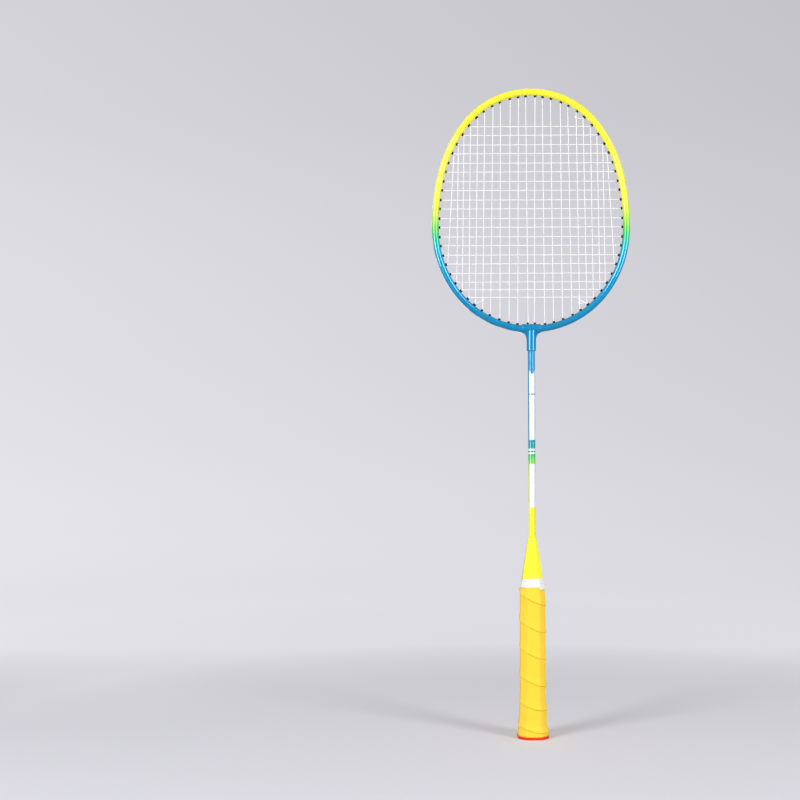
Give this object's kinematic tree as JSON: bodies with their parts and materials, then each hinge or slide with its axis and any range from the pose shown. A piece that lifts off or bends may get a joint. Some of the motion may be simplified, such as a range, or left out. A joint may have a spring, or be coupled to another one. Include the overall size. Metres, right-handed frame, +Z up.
{
  "type": "badminton racket",
  "caption": "Badminton racket with an oval strung head on a long thin shaft and an octagonal wrapped handle that flares at the butt.",
  "frame": {"origin": "centre of the butt's bottom face", "axes": "+Z up the shaft to the top of the head; the string bed lies in the XZ plane; -Y is the front and +X is the right side seen from the front"},
  "size_m": [0.2033, 0.0318, 0.6655],
  "materials": {
    "head_paint": "gloss",
    "joint_paint": "gloss",
    "shaft_paint": "gloss",
    "grommet_plastic": "matte",
    "string_plastic": "satin",
    "cone_plastic": "gloss",
    "grip_synthetic": "satin",
    "tape_plastic": "satin",
    "cap_plastic": "gloss",
    "core_wood": "matte",
    "pin_steel": "satin"
  },
  "bodies": {
    "root": {"butt_cap": "cap_plastic", "butt_cap_nails": "pin_steel", "cone_cap": "cone_plastic", "cross_string": "string_plastic", "finishing_tape": "tape_plastic", "grip_tack": "pin_steel", "grip_wrap": "grip_synthetic", "grommets_lower_left": "grommet_plastic", "grommets_lower_right": "grommet_plastic", "grommets_shoulder_left": "grommet_plastic", "grommets_shoulder_right": "grommet_plastic", "grommets_side_left": "grommet_plastic", "grommets_side_right": "grommet_plastic", "grommets_t_joint": "grommet_plastic", "grommets_throat_left": "grommet_plastic", "grommets_throat_right": "grommet_plastic", "grommets_tie_off": "grommet_plastic", "grommets_top_left": "grommet_plastic", "grommets_top_right": "grommet_plastic", "handle_core": "core_wood", "head_frame": "head_paint", "main_string": "string_plastic", "shaft": "shaft_paint", "shaft_pin": "pin_steel", "t_joint": "joint_paint"}
  },
  "joints": []
}
